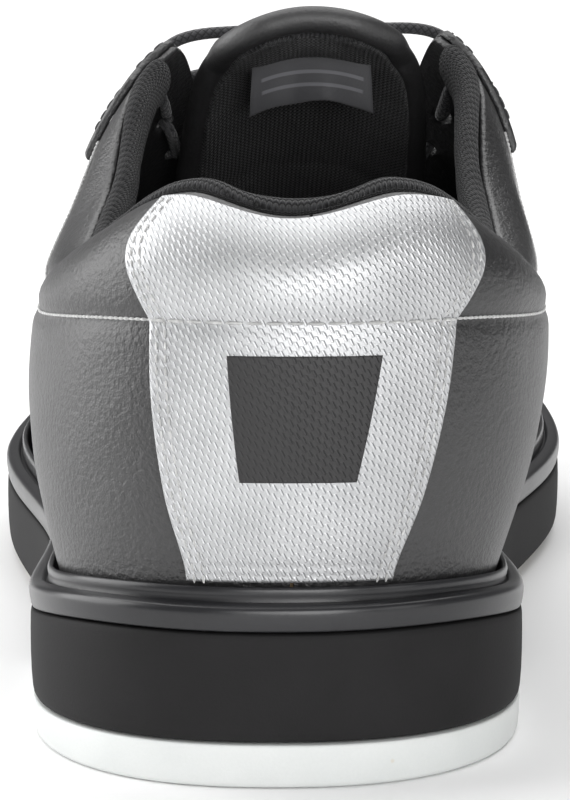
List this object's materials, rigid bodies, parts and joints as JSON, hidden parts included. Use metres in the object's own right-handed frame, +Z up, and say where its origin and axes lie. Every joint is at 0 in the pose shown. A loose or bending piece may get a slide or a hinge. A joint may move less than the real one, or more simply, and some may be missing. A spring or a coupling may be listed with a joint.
{
  "type": "bowling shoe",
  "caption": "Left lace-up bowling shoe, black leather upper with a silver woven-look heel panel, dark cup sole, foam wedge, white rubber heel and slide pad.",
  "frame": {"origin": "centre of the shoe's bounding box in plan, on the floor under it", "axes": "+Y from the heel to the toe, +X to the inner side of the left foot, +Z up"},
  "size_m": [0.1112, 0.3024, 0.1184],
  "materials": {
    "upper_leather": "fine pebbled grain, satin",
    "binding_leather": "smooth, satin",
    "silver_panel": "metallic silver, woven zigzag embossing",
    "black_print": "printed film over the embossing",
    "lining_mesh": "knitted mesh, matte",
    "pad_foam": "open-cell foam",
    "wedge_foam": "moulded foam with a fine skin",
    "cup_rubber": "satin, moulded",
    "white_rubber": "moulded, matte",
    "slide_microfibre": "brushed microfibre",
    "fibreboard": "pressed fibreboard",
    "shank_steel": "plain spring steel",
    "label_satin": "woven satin",
    "lace_cord": "round braided cord"
  },
  "bodies": {
    "shoe": {"heel_tread": "white_rubber", "slide_pad": "slide_microfibre", "foam_wedge": "wedge_foam", "sole_cup": "cup_rubber", "shank": "shank_steel", "insole_board": "fibreboard", "footbed": "pad_foam", "footbed_cover": "lining_mesh", "quarter_lateral": "upper_leather", "quarter_medial": "upper_leather", "vamp": "upper_leather", "toe_cap": "upper_leather", "toe_puff": "fibreboard", "vamp_lining": "lining_mesh", "eyestay_lateral": "upper_leather", "eyestay_medial": "upper_leather", "heel_panel": "silver_panel", "heel_mark": "black_print", "heel_counter": "fibreboard", "collar_foam": "pad_foam", "collar_lining": "lining_mesh", "quarter_lining_lateral": "lining_mesh", "quarter_lining_medial": "lining_mesh", "lace": "lace_cord", "tongue_cover_lower": "upper_leather", "tongue_foam_lower": "pad_foam", "tongue_lining_lower": "lining_mesh", "tongue_binding_lateral": "binding_leather", "tongue_binding_medial": "binding_leather"},
    "tongue_flap": {"tongue_cover_upper": "upper_leather", "tongue_foam_upper": "pad_foam", "tongue_lining_upper": "lining_mesh", "tongue_binding_upper": "binding_leather", "tongue_label": "label_satin"}
  },
  "joints": [
    {"name": "tongue_fold", "type": "hinge", "parent": "shoe", "child": "tongue_flap", "pos_m": [0.00455, -0.0266, 0.1066], "axis": [1, 0, 0], "range_deg": [-24, 24], "stiffness_Nm_per_rad": 0.02}
  ]
}
